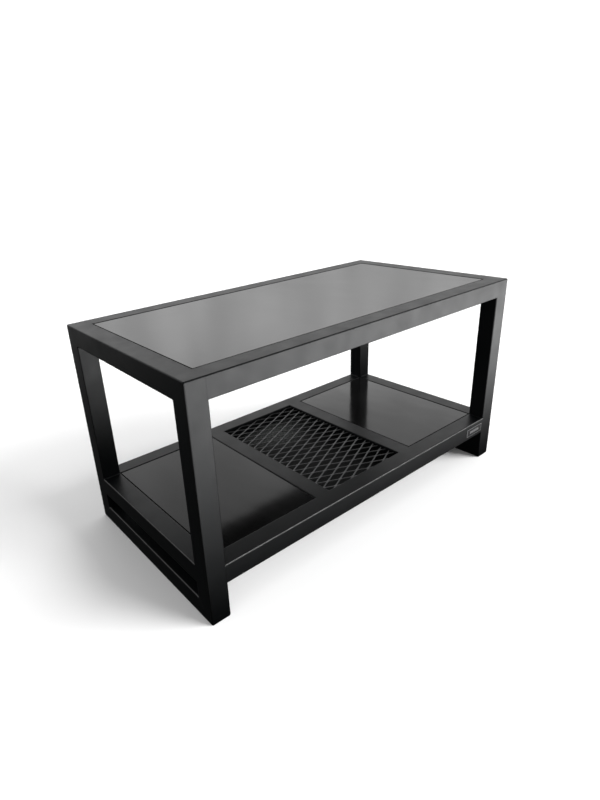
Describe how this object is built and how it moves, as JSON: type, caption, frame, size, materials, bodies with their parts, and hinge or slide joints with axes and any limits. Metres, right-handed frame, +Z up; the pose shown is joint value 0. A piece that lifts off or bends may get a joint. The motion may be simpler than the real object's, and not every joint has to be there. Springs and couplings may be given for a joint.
{
  "type": "two-level steel table",
  "caption": "Low two-level table welded from square steel tube, with drop-in panels in the top and shelf and an expanded-mesh bay over a shallow pan in the middle of the shelf.",
  "frame": {"origin": "on the floor, below the middle of the table", "axes": "+X to the right along the front long side, +Y towards the rear, +Z up"},
  "size_m": [0.885, 0.4555, 0.464],
  "materials": {
    "frame_paint": "satin black powder coat with a fine texture",
    "panel_board": "smooth satin black laminate with soft reflections",
    "mesh_paint": "satin black powder coat on expanded mesh",
    "ledge_paint": "satin black powder coat",
    "pad_rubber": "matte",
    "badge_metal": "dark printed face with a bare rim"
  },
  "bodies": {
    "frame": {"badge_plate": "badge_metal", "floor_rail_left": "frame_paint", "floor_rail_right": "frame_paint", "left_pad_1": "pad_rubber", "left_pad_2": "pad_rubber", "left_pad_3": "pad_rubber", "left_pad_4": "pad_rubber", "leg_front_left": "frame_paint", "leg_front_right": "frame_paint", "leg_rear_left": "frame_paint", "leg_rear_right": "frame_paint", "mesh_grille": "mesh_paint", "mesh_pan": "frame_paint", "right_pad_1": "pad_rubber", "right_pad_2": "pad_rubber", "right_pad_3": "pad_rubber", "right_pad_4": "pad_rubber", "shelf_crossbar_left": "frame_paint", "shelf_crossbar_right": "frame_paint", "shelf_ledge_1": "ledge_paint", "shelf_ledge_2": "ledge_paint", "shelf_ledge_3": "ledge_paint", "shelf_ledge_4": "ledge_paint", "shelf_rail_front": "frame_paint", "shelf_rail_left": "frame_paint", "shelf_rail_rear": "frame_paint", "shelf_rail_right": "frame_paint", "top_ledge_front": "ledge_paint", "top_ledge_left": "ledge_paint", "top_ledge_rear": "ledge_paint", "top_ledge_right": "ledge_paint", "top_pad_1": "pad_rubber", "top_pad_2": "pad_rubber", "top_pad_3": "pad_rubber", "top_pad_4": "pad_rubber", "top_pad_5": "pad_rubber", "top_pad_6": "pad_rubber", "top_rail_front": "frame_paint", "top_rail_left": "frame_paint", "top_rail_rear": "frame_paint", "top_rail_right": "frame_paint", "top_support_bar": "ledge_paint"},
    "top_panel_body": {"top_panel": "panel_board"},
    "left_panel_body": {"shelf_panel_left": "panel_board"},
    "right_panel_body": {"shelf_panel_right": "panel_board"}
  },
  "joints": [
    {"name": "top_panel_lift", "type": "slide", "parent": "frame", "child": "top_panel_body", "axis": [0, 0, 1], "range_m": [0, 0.15]},
    {"name": "left_panel_lift", "type": "slide", "parent": "frame", "child": "left_panel_body", "axis": [0, 0, 1], "range_m": [0, 0.25]},
    {"name": "right_panel_lift", "type": "slide", "parent": "frame", "child": "right_panel_body", "axis": [0, 0, 1], "range_m": [0, 0.25]}
  ]
}
